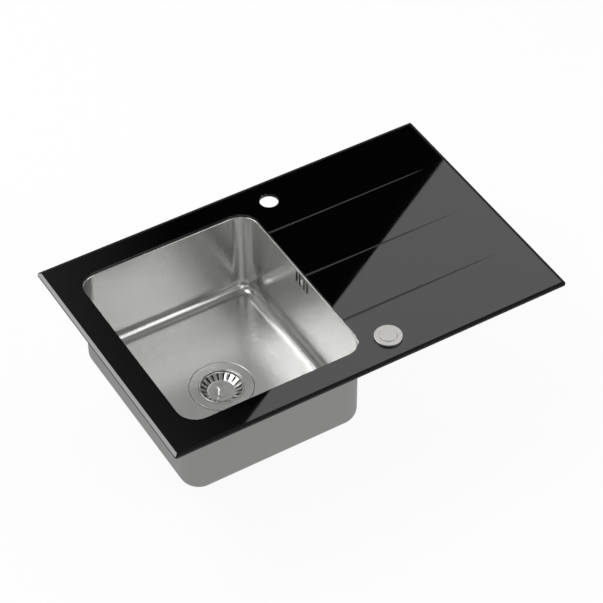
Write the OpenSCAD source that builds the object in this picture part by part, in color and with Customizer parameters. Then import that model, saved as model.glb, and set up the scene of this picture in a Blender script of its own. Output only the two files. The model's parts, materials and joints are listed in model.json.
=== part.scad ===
// Inset kitchen sink: one bowl and a drainer under a bevelled black glass plate.
// Millimetres. +X runs from the bowl to the drainer, +Y to the back, +Z up.
// The origin is the axis of the tap hole, on the underside of the glass.

/* [Glass top] */
// Width of the glass to the left of the bowl
land_left = 51; // [50:0.5:70]
// Width of the glass in front of the bowl and behind it
land_front = 50.5; // [50:0.5:65]
// Length of the drainer, from the bowl to the plate's right edge
drainer_l = 382; // [340:1:520]
// Thickness of the glass
glass_t = 6; // [5:0.5:10]
// Corner radius of the plate
plate_r = 4; // [1:0.5:12]
// Width of the ground bevel along the four sides
bevel_w = 6; // [3:0.5:9]
// Height that the bevel takes off the edge
bevel_drop = 1.8; // [1:0.1:3]
// Diameter of the tap hole and of the control hole
hole_d = 35; // [35:0.1:36]
// Distance of both holes from the bowl's wall
hole_from_bowl = 45; // [44:0.5:70]
// Distance of each hole from its long edge
hole_inset = 50; // [45:1:56]
// Chamfer at the top of the tap hole
hole_arris = 0.5; // [0.2:0.1:1]

/* [Drainer] */
// Distance between the three grooves
groove_pitch = 126.5; // [60:0.5:140]
// Radius of the groove's cutter
groove_r = 3.2; // [2.5:0.1:5]
// Depth of a groove where it meets the bowl
groove_depth = 1.2; // [0.6:0.1:2]
// Distance of the grooves' end from the plate's right edge
groove_end = 51; // [20:1:120]

/* [Bowl] */
// Inside length of the bowl, left to right
bowl_l = 347; // [320:1:350]
// Inside depth of the bowl, front to back
bowl_w = 399; // [360:1:400]
// Height from the bowl's floor to its flange
bowl_h = 179; // [150:1:220]
// Thickness of the steel sheet
sheet_t = 1; // [0.7:0.1:1.5]
// Inside radius of the bowl's upright corners
bowl_r = 36; // [28:1:50]
// Inside radius between the walls and the floor
floor_r = 24; // [12:1:26]
// Outside radius of the bend at the rim
rim_bend = 2; // [1.8:0.1:3]
// Width of the flange bonded under the glass
flange_w = 13; // [10:0.5:14]
// How far the glass stands back from the bowl's wall
reveal = 1; // [0.5:0.1:2]

/* [Seals] */
// Thickness of the silicone bond under the glass
bond_t = 1; // [0.5:0.1:1.2]
// Thickness of the foam seal on the worktop
rim_seal_t = 2; // [1.5:0.1:3]
// Width of the foam seal
rim_seal_w = 7; // [5:0.5:7.5]
// Distance of the foam seal from the plate's edge
rim_inset = 2.5; // [2:0.1:3]

/* [Overflow] */
// Width of an overflow slot
slot_w = 5; // [4.5:0.1:6]
// Height of an overflow slot
slot_h = 26; // [16:1:28]
// Distance between the slots of a pair
slot_pitch = 10.4; // [8:0.1:12]
// Distance between the two inner slots, across the screw
slot_gap = 14.2; // [14:0.1:18]
// Distance of the slots' top below the flange
slot_drop = 5.2; // [4:0.1:12]
// Distance of the overflow behind the middle of the bowl
overflow_y = 11; // [0:1:30]
// Depth of the overflow housing behind the wall
housing_d = 29; // [29:0.5:36]
// Wall of the overflow housing
housing_wall = 2; // [1.5:0.1:2.5]
// Diameter of the overflow screw's head
screw_head_d = 9; // [8:0.1:10]
// Outside radius of the hose spigots
spigot_r = 10; // [9:0.1:10.5]
// Thickness of the overflow gasket
gasket_t = 2; // [1:0.1:3]

/* [Overflow hose] */
// Number of ribs along the hose
hose_ribs = 60; // [30:1:80]
// Radius over the ribs
hose_rib_r = 12; // [11:0.1:12]
// Radius between the ribs
hose_valley_r = 10.6; // [10.2:0.1:10.8]
// Radius of the hose's bore
hose_bore_r = 9; // [8:0.1:9.5]
// Radius of the bend under the bowl
hose_bend_r = 50; // [46:1:54]

/* [Strainer] */
// Radius of the steel flange in the floor
strainer_r = 57.5; // [56:0.5:59]
// Thickness of the flange's lip
lip_t = 1.2; // [1:0.1:1.5]
// Play round the basket in the flange's mouth
mouth_play = 0.5; // [0.3:0.1:1]
// Depth of the pressed recess that takes the flange
recess_h = 2; // [1.8:0.1:2.5]
// Play round the flange in its recess
recess_play = 1; // [0.5:0.1:1.5]
// Radius of the drain hole in the bowl
drain_hole_r = 44.5; // [44:0.1:45]
// Depth from the flange to the valve seat
seat_depth = 19; // [18:0.5:24]
// Radius of the throat inside the valve seat
throat_r = 22.5; // [21:0.5:24]
// Radius of the outside of the valve seat
seat_r = 28.5; // [28.2:0.1:30]

/* [Basket] */
// Radius of the basket's rim
basket_r = 41; // [40:0.1:41]
// Radius where the slotted cone starts
cone_r = 37.5; // [36.5:0.1:38]
// Radius of the flat middle of the basket
disc_r = 25; // [23:0.5:25.5]
// Depth of the flat middle below the floor
disc_depth = 12.3; // [10:0.1:13]
// Depth of the straight wall inside the basket's rim
rim_drop = 5.2; // [4:0.1:6]
// Thickness of the basket's sheet
basket_t = 0.8; // [0.6:0.1:1]
// Number of slots in the cone
slot_count = 20; // [16:1:24]
// Width of a slot at its outer end
cone_slot_w = 4.7; // [4:0.1:5]
// Width of a slot at its inner end
inner_slot_w = 2.2; // [1.5:0.1:2.8]
// Radius of the basket's knob
knob_r = 8.8; // [8:0.1:9.4]
// Height of the knob over the floor
knob_over = 2.4; // [1:0.1:6]
// Radius of the rubber seal
seal_r = 27.5; // [26.5:0.1:27.9]
// Thickness of the rubber seal
seal_t = 2.7; // [2:0.1:3]
// Rise of the basket when the waste opens
lift = 8; // [6:0.5:8]
// Radius of the lift pin
lift_pin_r = 3; // [2.5:0.1:3.2]

/* [Waste body] */
// Inside radius of the waste body
waste_r = 44; // [43.6:0.1:45]
// Wall of the waste body
waste_wall = 3; // [2.5:0.1:3.5]
// Height of the waste body's cylinder
waste_h = 35; // [35:1:38]
// Height of the cone below it
waste_cone = 14; // [13:1:15]
// Outside radius of the threaded outlet
outlet_r = 23.9; // [23.4:0.1:24.5]
// Wall of the outlet
outlet_wall = 3.2; // [3:0.1:3.4]
// Height of the outlet
outlet_h = 32; // [30:1:36]

/* [Remote control] */
// Radius of the control's ring on the glass
ring_r = 25; // [23:0.5:28]
// Height of the ring
ring_h = 4; // [3:0.5:6]
// Thickness of the gasket under the ring
ring_gasket_t = 0.5; // [0.3:0.1:1]
// Radius of the push button
button_r = 15.5; // [14:0.1:15.5]
// Height of the button over the ring
button_over = 1.2; // [0.8:0.1:2]
// Travel of the button
button_travel = 6; // [4:0.5:6]
// Radius of the spring's turns
spring_r = 9; // [8:0.1:10]
// Radius of the spring's wire
spring_wire_r = 0.7; // [0.5:0.1:0.9]
// Number of turns in the spring
spring_turns = 6; // [4:1:8]
// Radius of the Bowden cable
cable_r = 2.5; // [2:0.1:3]

/* [Clips] */
// Distance of the front and back clips at the bowl from the left edge
clip_x_bowl = 150; // [110:5:300]
// Distance of the front and back clips at the drainer from the right edge
clip_from_right = 160; // [80:5:200]
// Distance of the side clips from the front edge
clip_y_side = 250; // [180:5:320]
// Distance of a clip's hinge from the foam seal
hinge_from_seal = 4; // [4:0.1:5]
// Free space between a clip and the bowl's wall
clip_clear = 5.5; // [4:0.5:8]
// Length of a claw's foot below its block
foot_l = 13.5; // [8:0.5:16]
// Travel of a claw along its arm
claw_travel = 12; // [6:0.5:12]

/* [Hidden] */
SINK_NODES = [
    "glass_top", "bowl", "bond_seal", "rim_seal",
    "strainer_flange", "flange_seal", "body_gasket", "clamp_screw",
    "waste_body", "waste_cone", "outlet_neck", "inlet_spigot", "cable_port", "waste_cross",
    "overflow_gasket", "overflow_housing", "overflow_screw", "overflow_hose",
    "hose_nut_upper", "hose_nut_lower",
    "control_gasket", "control_ring", "control_sleeve", "control_washer", "control_nut",
    "control_spring", "control_cable", "cable_gland_upper", "cable_gland_lower", "rocker_pin",
    "clip_pads", "clip_brackets", "clip_pins"
];
DRAIN_NODES = [
    "control_button", "pull_wire", "lift_rocker", "lift_pin",
    "basket", "basket_knob", "basket_seal"
];
clip_count = 6;
CLIP_NODES = [for (part = ["clip_arm_", "clip_screw_", "clip_claw_"], i = [1 : clip_count]) str(part, i)];

$fn = 72;
cut = 1;              // how far a cutter runs past the face that it opens
touch = 0.05;         // play of a fixed fit
run_gap = 0.1;        // radial clearance of a running fit
rest_gap = 0.3;       // gap between a moving piece and its seat

black = [0.03, 0.03, 0.03];
steel = [0.72, 0.72, 0.70];
chrome = [0.82, 0.82, 0.82];
rubber = [0.10, 0.10, 0.10];
plastic = [0.20, 0.20, 0.21];
grey_plastic = [0.55, 0.56, 0.57];

// plate frame: the left front corner of the plate, on the underside of the glass
plate_l = land_left + bowl_l + drainer_l;
plate_w = bowl_w + 2 * land_front;
wall_x = land_left + bowl_l;
hole_x = wall_x + hole_from_bowl;
tap_y = plate_w - hole_inset;
groove_l = drainer_l - reveal - groove_end;
bowl_x = land_left + bowl_l / 2;
bowl_y = plate_w / 2;
open_l = bowl_l + 2 * reveal;
open_w = bowl_w + 2 * reveal;
open_r = bowl_r + reveal;
bevel_angle = atan(bevel_drop / bevel_w);

// levels of the bowl
flange_z = -bond_t;
floor_z = flange_z - bowl_h;

// levels of the drain
recess_r = strainer_r + recess_play;
recess_z = floor_z - recess_h;
bowl_bottom = recess_z - sheet_t;
mouth_r = basket_r + mouth_play;
seat_z = floor_z - seat_depth;
body_gasket_t = 2.5;
body_top = bowl_bottom - body_gasket_t;
body_flange_r = strainer_r + 0.5;
body_flange_t = 3.5;
body_cone_z = body_top - waste_h;
outlet_top = body_cone_z - waste_cone;
outlet_bottom = outlet_top - outlet_h;
cone_top = body_cone_z + 1;
neck_top = outlet_top - 1;
outlet_bore = outlet_r - outlet_wall;
thread_l = 14;
hub_r = 9;
hub_t = 4;
spoke_w = 4;
cup_t = 1;
clamp_r = 6;
clamp_head_r = 8.5;
clamp_head_t = 2.5;
clamp_l = 26;
clamp_top = seat_z + clamp_head_t;
clamp_bottom = seat_z - clamp_l;
inner_hub_top = seat_z - hub_t - 3;

// basket
disc_z = floor_z - disc_depth;
basket_under = basket_t + 0.2;
rim_z = floor_z + 0.3;
boss_r = 20;
boss_bore = 12.5;
seal_z = seat_z + rest_gap;
wall_z = floor_z - rim_drop;
skirt_r = cone_r + basket_t + 1;

// lift gear: the rocker turns on a pin beside the outlet's axis
pivot_offset = 16.5;
pivot_z = outlet_top - 8;
rocker_reach = 16;
rocker_tip_r = 3;
rocker_arm = 3;
rocker_fork = 2.5;
rocker_hub_r = 3;
rocker_t = 4;
rocker_half_turn = asin(lift / (2 * rocker_reach));
wire_arm = button_travel / (2 * sin(rocker_half_turn));
pivot_pin_r = 1.5;
foot_r = 5;
foot_t = 2;
pin_foot_z = pivot_z - lift / 2 + rocker_tip_r + rest_gap;
wire_r = 0.8;
wire_z = pivot_z + wire_arm * (1 + cos(rocker_half_turn)) / 2;
port_r = 8;
port_bore = 4;
port_end = 48;
nipple_r = 2;
nipple_l = 2;
nipple_back = wire_arm * sin(rocker_half_turn) + rocker_fork / 2 / cos(rocker_half_turn)
    + nipple_r * tan(rocker_half_turn) + rest_gap;
ear_x = rocker_t / 2 + 0.4;
ear_w = 2.5;
ear_h = 9;

// overflow
slot_ys = [-slot_gap / 2 - slot_pitch, -slot_gap / 2, slot_gap / 2, slot_gap / 2 + slot_pitch];
slot_top = flange_z - slot_drop;
slot_mid = slot_top - slot_h / 2;
over_y = bowl_y + overflow_y;
outer_wall = wall_x + sheet_t;
housing_x = outer_wall + gasket_t;
housing_land = 4;
housing_corner = 6;
cavity_l = 2 * (slot_gap / 2 + slot_pitch + slot_w / 2) + 4;
cavity_h = slot_h + 2;
housing_l = cavity_l + 2 * housing_land;
housing_top = flange_z - rim_bend - 0.2;
housing_bottom = slot_mid - cavity_h / 2 - housing_land;
nut_out_r = 15.4;
spigot_x = outer_wall + nut_out_r + 1.6;
spigot_l = 8;
spigot_bottom = housing_bottom - spigot_l;
wall_screw_r = 2.5;
wall_screw_l = 14;
wall_boss_r = 4.5;
inlet_z = body_top - 17;
nut_grip = 7;
nut_skirt = 9;
nut_play = 0.25;
inlet_end = bowl_x + body_flange_r + nut_grip + 2;

// hose: straight down, a quarter bend, then along under the floor
hose_d = 2 * hose_rib_r;
hose_top = spigot_bottom - nut_play;
hose_arc_x = spigot_x - hose_bend_r;
hose_arc_z = inlet_z + hose_bend_r;
hose_down = hose_top - hose_arc_z;
hose_arc = PI * hose_bend_r / 2;
hose_end_x = inlet_end + nut_play;
hose_along = hose_arc_x - hose_end_x;
hose_length = hose_down + hose_arc + hose_along;
hose_sides = 8;

// remote control
control_y = hole_inset;
ring_z = glass_t + ring_gasket_t;
ring_top = ring_z + ring_h;
button_top = ring_top + button_over;
sleeve_in = button_r + run_gap;
sleeve_out = hole_d / 2 - 0.2;
sleeve_top = ring_z + ring_h / 2;
sleeve_floor = -24;
sleeve_floor_t = 3;
cap_t = 2.5;
skirt_t = 2;
skirt_bottom = -2;
stem_r = 3;
stem_bottom = sleeve_floor + button_travel + 1;
cable_top = -40;
gland_r = 6;
wire_bore = 1.4;
washer_t = 1;
control_nut_r = 26;
control_nut_h = 8;

// Bowden cable: hand laid from under the button to the waste body's port
gland_end = 62;
cable_in_y = bowl_y - gland_end;
cable_route = [
    [hole_x, control_y, cable_top],
    [hole_x, control_y, cable_top - 6],
    [hole_x, control_y, cable_top - 11],
    [hole_x, control_y + 8, cable_top - 25],
    [hole_x, control_y + 30, cable_top - 38],
    [hole_x - 3, control_y + 65, -108],
    [hole_x - 9, control_y + 92, -148],
    [hole_x - 23, control_y + 102, -192],
    [hole_x - 55, control_y + 98, -224],
    [bowl_x + 116, bowl_y - 118, wire_z - 7],
    [bowl_x + 64, bowl_y - 132, wire_z - 7],
    [bowl_x + 22, bowl_y - 122, wire_z - 4],
    [bowl_x + 3, bowl_y - 98, wire_z - 1],
    [bowl_x, cable_in_y - 12, wire_z],
    [bowl_x, cable_in_y - 6, wire_z],
    [bowl_x, cable_in_y, wire_z]
];
cable_steps = 4;
cable_sides = 8;

// clips: [place along the plate's edge, turn], local +Y runs inwards from the edge
clip_x_drainer = plate_l - clip_from_right;
hinge_inset = rim_inset + rim_seal_w + hinge_from_seal;
arm_l = min(land_front, land_left) - hinge_inset - clip_clear;
arm_end = hinge_inset + arm_l;
clip_places = [
    [[clip_x_bowl, 0, 0], 0],
    [[clip_x_drainer, 0, 0], 0],
    [[clip_x_bowl, plate_w, 0], 180],
    [[clip_x_drainer, plate_w, 0], 180],
    [[0, clip_y_side, 0], -90],
    [[plate_l, clip_y_side, 0], 90]
];
pad_t = 1;
bracket_t = 1.2;
bracket_w = 10.2;
bracket_in = rim_inset + rim_seal_w + 1;
bracket_out = hinge_inset + 12.5;
ear_out = hinge_inset + 5;
ear_t = 1.5;
cheek_w = 8.4;
cheek_t = 1.5;
hinge_z = -pad_t - bracket_t - 5.2;
arm_top = hinge_z + 4.2;
arm_low = hinge_z - 3.2;
web_t = 1.2;
clip_pin_r = 1.5;
clip_screw_r = 2;
clip_head_r = 3.6;
clip_head_t = 2.5;
tab_t = 1.5;
block_l = 8;
block_gap = 0.5;
block_far = arm_end - tab_t - block_gap;
near_tab = block_far - block_l - claw_travel - 2.5 - tab_t;
claw_foot_t = 2;
tooth_l = 3;

// Places children in the part's frame from plate coordinates
module on_plate() {
    translate([-hole_x, -tap_y, 0]) children();
}

module at_drain() {
    on_plate() translate([bowl_x, bowl_y, 0]) children();
}

module at_control() {
    on_plate() translate([hole_x, control_y, 0]) children();
}

module at_clip(i) {
    place = clip_places[i - 1];
    on_plate() translate(place[0]) rotate([0, 0, place[1]]) children();
}

// Rectangle with round corners, centred on the origin
module round_rect(l, w, r) {
    square([l - 2 * r, w], center = true);
    square([l, w - 2 * r], center = true);
    for (sx = [-1, 1], sy = [-1, 1])
        translate([sx * (l / 2 - r), sy * (w / 2 - r)]) circle(r);
}

// Ring between two radii, from one height up to another
module tube(outer, inner, low, high) {
    translate([0, 0, low]) difference() {
        cylinder(r = outer, h = high - low);
        translate([0, 0, -cut]) cylinder(r = inner, h = high - low + 2 * cut);
    }
}

module disc(r, low, high) {
    translate([0, 0, low]) cylinder(r = r, h = high - low);
}

// Glass top
module bevel_cutter(length) {
    translate([-length / 2, 0, glass_t - bevel_drop]) rotate([bevel_angle, 0, 0])
        translate([0, -10, 0]) cube([length, 3 * bevel_w + 10, 10]);
}

module groove_cutter() {
    tilt = atan(groove_depth / groove_l);
    translate([bowl_x + open_l / 2, 0, glass_t + groove_r - groove_depth]) rotate([0, 90 - tilt, 0])
        translate([0, 0, -5]) cylinder(r = groove_r, h = groove_l + 20, $fn = 96);
}

module glass_top() {
    color(black) on_plate() difference() {
        translate([plate_l / 2, plate_w / 2, 0]) linear_extrude(glass_t)
            round_rect(plate_l, plate_w, plate_r);
        translate([bowl_x, bowl_y, -cut]) linear_extrude(glass_t + 2 * cut)
            round_rect(open_l, open_w, open_r);
        translate([plate_l / 2, 0, 0]) bevel_cutter(plate_l + 20);
        translate([plate_l / 2, plate_w, 0]) rotate([0, 0, 180]) bevel_cutter(plate_l + 20);
        translate([0, plate_w / 2, 0]) rotate([0, 0, -90]) bevel_cutter(plate_w + 20);
        translate([plate_l, plate_w / 2, 0]) rotate([0, 0, 90]) bevel_cutter(plate_w + 20);
        for (y = [hole_inset, tap_y])
            translate([hole_x, y, -cut]) cylinder(d = hole_d, h = glass_t + 2 * cut);
        translate([hole_x, tap_y, glass_t - hole_arris])
            cylinder(r1 = hole_d / 2, r2 = hole_d / 2 + 2 * hole_arris, h = 2 * hole_arris);
        for (i = [-1 : 1]) translate([0, bowl_y + i * groove_pitch, 0]) groove_cutter();
    }
}

// Bowl
// Section of the sheet: x outwards from a corner's centre, y up
module sheet_section() {
    translate([bowl_r + rim_bend, flange_z - sheet_t]) square([flange_w - rim_bend, sheet_t]);
    translate([bowl_r + rim_bend, flange_z - rim_bend]) intersection() {
        difference() {
            circle(rim_bend);
            circle(rim_bend - sheet_t);
        }
        translate([-rim_bend, 0]) square(rim_bend);
    }
    translate([bowl_r, floor_z + floor_r])
        square([sheet_t, flange_z - rim_bend - floor_z - floor_r]);
    translate([bowl_r - floor_r, floor_z + floor_r]) intersection() {
        difference() {
            circle(floor_r + sheet_t);
            circle(floor_r);
        }
        translate([0, -floor_r - sheet_t]) square(floor_r + sheet_t);
    }
    translate([0, floor_z - sheet_t]) square([bowl_r - floor_r, sheet_t]);
}

module bowl_sheet() {
    flat_l = bowl_l - 2 * bowl_r;
    flat_w = bowl_w - 2 * bowl_r;
    for (q = [[1, 1, 0], [-1, 1, 90], [-1, -1, 180], [1, -1, 270]])
        translate([q[0] * flat_l / 2, q[1] * flat_w / 2, 0]) rotate([0, 0, q[2]])
            rotate_extrude(angle = 90) sheet_section();
    for (side = [[flat_l, flat_w, 0], [flat_w, flat_l, 90], [flat_l, flat_w, 180], [flat_w, flat_l, 270]])
        rotate([0, 0, side[2]]) translate([side[0] / 2, side[1] / 2, 0]) rotate([90, 0, 0])
            linear_extrude(side[1]) sheet_section();
    translate([-flat_l / 2, -flat_w / 2, floor_z - sheet_t]) cube([flat_l, flat_w, sheet_t]);
}

module overflow_slot() {
    square([slot_w, slot_h - slot_w], center = true);
    for (s = [-1, 1]) translate([0, s * (slot_h - slot_w) / 2]) circle(d = slot_w);
}

// Slots and screw hole, cut along +X from the plane x = 0
module overflow_cuts(depth) {
    rotate([90, 0, 90]) linear_extrude(depth) {
        for (y = slot_ys) translate([y, 0]) overflow_slot();
        circle(r = wall_screw_r + run_gap);
    }
}

module bowl() {
    color(steel) on_plate() {
        difference() {
            translate([bowl_x, bowl_y, 0]) bowl_sheet();
            translate([bowl_x, bowl_y, floor_z - sheet_t - cut])
                cylinder(r = recess_r, h = sheet_t + 2 * cut);
            translate([wall_x - cut, over_y, slot_mid]) overflow_cuts(sheet_t + 2 * cut);
        }
        translate([bowl_x, bowl_y, 0]) {
            tube(recess_r + sheet_t, recess_r, bowl_bottom, floor_z);
            tube(recess_r + sheet_t, drain_hole_r, bowl_bottom, recess_z);
        }
    }
}

module bond_seal() {
    inner = 2 * (rim_bend + 0.5);
    outer = 2 * (flange_w - 0.5);
    color(rubber) on_plate() translate([bowl_x, bowl_y, flange_z]) linear_extrude(bond_t) difference() {
        round_rect(bowl_l + outer, bowl_w + outer, bowl_r + outer / 2);
        round_rect(bowl_l + inner, bowl_w + inner, bowl_r + inner / 2);
    }
}

module rim_seal() {
    out = 2 * rim_inset;
    in = 2 * (rim_inset + rim_seal_w);
    color(rubber) on_plate() translate([plate_l / 2, plate_w / 2, -rim_seal_t]) linear_extrude(rim_seal_t)
        difference() {
            round_rect(plate_l - out, plate_w - out, plate_r);
            round_rect(plate_l - in, plate_w - in, plate_r);
        }
}

// Strainer and waste
module strainer_flange() {
    lip_bottom = floor_z - lip_t;
    shoulder_z = floor_z - 6;
    color(chrome) at_drain() {
        rotate_extrude() polygon([
            [mouth_r, floor_z], [strainer_r - 0.6, floor_z], [strainer_r, floor_z - 0.4],
            [strainer_r, lip_bottom], [mouth_r + cup_t, lip_bottom], [mouth_r + cup_t, shoulder_z - 0.4],
            [seat_r + 0.4, seat_z - cup_t], [throat_r + cup_t, seat_z - cup_t],
            [throat_r + cup_t, seat_z - hub_t], [throat_r, seat_z - hub_t], [throat_r, seat_z],
            [seat_r, seat_z], [mouth_r, shoulder_z]
        ]);
        difference() {
            union() {
                disc(hub_r, seat_z - hub_t, seat_z);
                for (a = [0 : 90 : 270]) rotate([0, 0, a + 45])
                    translate([0, -spoke_w / 2, seat_z - hub_t]) cube([throat_r + cup_t / 2, spoke_w, 2]);
            }
            disc(clamp_r + touch, seat_z - hub_t - cut, seat_z + cut);
        }
    }
}

module flange_seal() {
    color(rubber) at_drain() tube(strainer_r - 0.5, drain_hole_r + 1.5, recess_z, floor_z - lip_t);
}

module body_gasket() {
    color(rubber) at_drain() tube(body_flange_r, drain_hole_r + 1.5, body_top, bowl_bottom);
}

module clamp_screw() {
    color(chrome) at_drain() difference() {
        union() {
            disc(clamp_head_r, seat_z, clamp_top);
            disc(clamp_r, clamp_bottom, seat_z + 0.5);
        }
        disc(lift_pin_r + run_gap, clamp_bottom - cut, clamp_top + cut);
        for (a = [0, 90]) rotate([0, 0, a])
            translate([-clamp_head_r, -1, clamp_top - 1]) cube([2 * clamp_head_r, 2, 2]);
    }
}

// The waste is one moulding, drawn as six solids so that each is a simple shape.
// The envelope is its round outside, which the two ports stand on
module waste_envelope() {
    wall_r = waste_r + waste_wall + touch;
    neck_r = outlet_r + 1 + touch;
    rotate_extrude() polygon([
        [0, body_top], [wall_r, body_top], [wall_r, body_cone_z], [neck_r, neck_top],
        [neck_r, outlet_bottom], [0, outlet_bottom]
    ]);
}

module inlet_bore() {
    translate([0, 0, inlet_z]) rotate([0, 90, 0])
        cylinder(r = spigot_r - housing_wall, h = inlet_end - bowl_x + cut);
}

module cable_bore() {
    translate([0, 0, wire_z]) rotate([90, 0, 0]) cylinder(r = port_bore, h = port_end + cut);
}

module waste_body() {
    color(grey_plastic) at_drain() difference() {
        rotate_extrude() polygon([
            [waste_r, body_top], [body_flange_r, body_top], [body_flange_r, body_top - body_flange_t],
            [waste_r + waste_wall, body_top - body_flange_t], [waste_r + waste_wall, cone_top],
            [waste_r, cone_top]
        ]);
        inlet_bore();
    }
}

module waste_cone() {
    color(grey_plastic) at_drain() difference() {
        rotate_extrude() polygon([
            [waste_r, cone_top], [waste_r + waste_wall, cone_top], [waste_r + waste_wall, body_cone_z],
            [outlet_r + 1, neck_top], [outlet_bore, neck_top], [outlet_bore, outlet_top]
        ]);
        cable_bore();
    }
}

module outlet_neck() {
    ear_near = pivot_offset - 5;
    color(grey_plastic) at_drain() {
        rotate_extrude() polygon([
            [outlet_bore, neck_top], [outlet_r + 1, neck_top], [outlet_r + 1, outlet_bottom + thread_l],
            [outlet_r, outlet_bottom + thread_l], [outlet_r, outlet_bottom], [outlet_bore, outlet_bottom]
        ]);
        difference() {
            for (s = [-1, 1]) translate([s * (ear_x + ear_w / 2), -(outlet_r + ear_near) / 2, pivot_z])
                cube([ear_w, outlet_r - ear_near - 1, ear_h], center = true);
            translate([-ear_x - 2 * ear_w, -pivot_offset, pivot_z]) rotate([0, 90, 0])
                cylinder(r = pivot_pin_r + touch, h = 2 * ear_x + 4 * ear_w);
        }
    }
}

module inlet_spigot() {
    color(grey_plastic) at_drain() difference() {
        translate([0, 0, inlet_z]) rotate([0, 90, 0]) cylinder(r = spigot_r, h = inlet_end - bowl_x);
        waste_envelope();
        inlet_bore();
    }
}

module cable_port() {
    color(grey_plastic) at_drain() difference() {
        translate([0, 0, wire_z]) rotate([90, 0, 0]) cylinder(r = port_r, h = port_end);
        waste_envelope();
        cable_bore();
    }
}

// Hub for the clamp screw, on four ribs across the waste body
module waste_cross() {
    rib_low = clamp_bottom + 8;
    color(grey_plastic) at_drain() difference() {
        union() {
            disc(hub_r + 1, clamp_bottom + 3, inner_hub_top);
            intersection() {
                disc(waste_r - touch, rib_low, rib_low + 8);
                for (a = [45 : 90 : 315]) rotate([0, 0, a])
                    translate([hub_r, -1.5, rib_low]) cube([waste_r - hub_r + 1, 3, 8]);
            }
        }
        disc(clamp_r + touch, clamp_bottom, inner_hub_top + cut);
    }
}

module rocker_pin() {
    half = ear_x + ear_w;
    color(chrome) at_drain() translate([-half, -pivot_offset, pivot_z]) rotate([0, 90, 0])
        cylinder(r = pivot_pin_r, h = 2 * half);
}

// Overflow
// Plan of the housing: flat against the wall, round at its two outer corners
module housing_plan(depth, width, r) {
    translate([0, -width / 2]) square([depth - r, width]);
    translate([0, r - width / 2]) square([depth, width - 2 * r]);
    for (s = [-1, 1]) translate([depth - r, s * (width / 2 - r)]) circle(r);
}

module overflow_gasket() {
    color(rubber) on_plate() translate([outer_wall, over_y, 0]) difference() {
        translate([0, -housing_l / 2, housing_bottom])
            cube([gasket_t, housing_l, housing_top - housing_bottom]);
        translate([-cut, -cavity_l / 2, slot_mid - cavity_h / 2])
            cube([gasket_t + 2 * cut, cavity_l, cavity_h]);
    }
}

module overflow_housing() {
    color(plastic) on_plate() difference() {
        union() {
            translate([housing_x, over_y, housing_bottom]) linear_extrude(housing_top - housing_bottom)
                housing_plan(housing_d, housing_l, housing_corner);
            translate([spigot_x, over_y, spigot_bottom]) cylinder(r = spigot_r, h = spigot_l + cut);
        }
        difference() {
            translate([housing_x - cut, over_y, slot_mid - cavity_h / 2]) linear_extrude(cavity_h)
                housing_plan(housing_d - housing_wall + cut, cavity_l, housing_corner);
            translate([housing_x - 2 * cut, over_y, slot_mid]) rotate([0, 90, 0])
                cylinder(r = wall_boss_r, h = housing_d);
        }
        translate([spigot_x, over_y, spigot_bottom - cut])
            cylinder(r = spigot_r - housing_wall, h = spigot_l + housing_land + 2 * cut);
        translate([housing_x - cut, over_y, slot_mid]) rotate([0, 90, 0])
            cylinder(r = wall_screw_r + touch, h = wall_screw_l + 2 * cut);
    }
}

module overflow_screw() {
    head_r = screw_head_d / 2;
    dome_h = 2.6;
    dome_r = (head_r * head_r + dome_h * dome_h) / (2 * dome_h);
    color(chrome) on_plate() translate([wall_x, over_y, slot_mid]) {
        rotate([0, 90, 0]) cylinder(r = wall_screw_r, h = sheet_t + gasket_t + wall_screw_l);
        intersection() {
            translate([dome_r - dome_h, 0, 0]) sphere(r = dome_r);
            translate([-dome_h - cut, -head_r, -head_r]) cube([dome_h + cut, 2 * head_r, 2 * head_r]);
        }
    }
}

// Point, and progress, of the hose's centre line at the length s
function hose_shift(x) = let (t = min(1, max(0, (hose_arc_x - x) / (hose_along - hose_d))))
    overflow_y * (1 - t * t * (3 - 2 * t));
function hose_point(s) =
    s < hose_down ? [spigot_x, bowl_y + overflow_y, hose_top - s] :
    s < hose_down + hose_arc
        ? let (a = (s - hose_down) / hose_bend_r * 180 / PI)
          [hose_arc_x + hose_bend_r * cos(a), bowl_y + overflow_y, hose_arc_z - hose_bend_r * sin(a)]
        : let (x = hose_arc_x - (s - hose_down - hose_arc)) [x, bowl_y + hose_shift(x), inlet_z];

function unit(v) = v / norm(v);
function tangent(points, i) =
    unit(points[min(i + 1, len(points) - 1)] - points[max(i - 1, 0)]);
// Carries a side vector along the points without twist
function sides_along(points, side, i = 0, out = []) =
    i == len(points) ? out :
    let (t = tangent(points, i), s = unit(side - (side * t) * t))
    sides_along(points, s, i + 1, concat(out, [s]));
function ring(centre, t, s, r, count) =
    let (b = cross(t, s), step = 360 / count)
    [for (k = [0 : count - 1]) centre + r * (s * cos(step * k) + b * sin(step * k))];
// Triangles between ring a and ring b of count points each
function band(a, b, count) = [
    for (k = [0 : count - 1]) let (n = (k + 1) % count)
        each [[a + k, b + n, a + n], [a + k, b + k, b + n]]
];

// Solid rod along points; its ends are capped by fans
module rod(points, radii, side, count) {
    sides = sides_along(points, side);
    last = len(points) - 1;
    rings = [for (i = [0 : last]) each ring(points[i], tangent(points, i), sides[i], radii[i], count)];
    walls = [for (i = [0 : last - 1]) each band(i * count, (i + 1) * count, count)];
    start = [for (k = [1 : count - 2]) [0, k, k + 1]];
    end = [for (k = [1 : count - 2]) [last * count, last * count + k + 1, last * count + k]];
    polyhedron(concat(rings), concat(walls, start, end));
}

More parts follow.
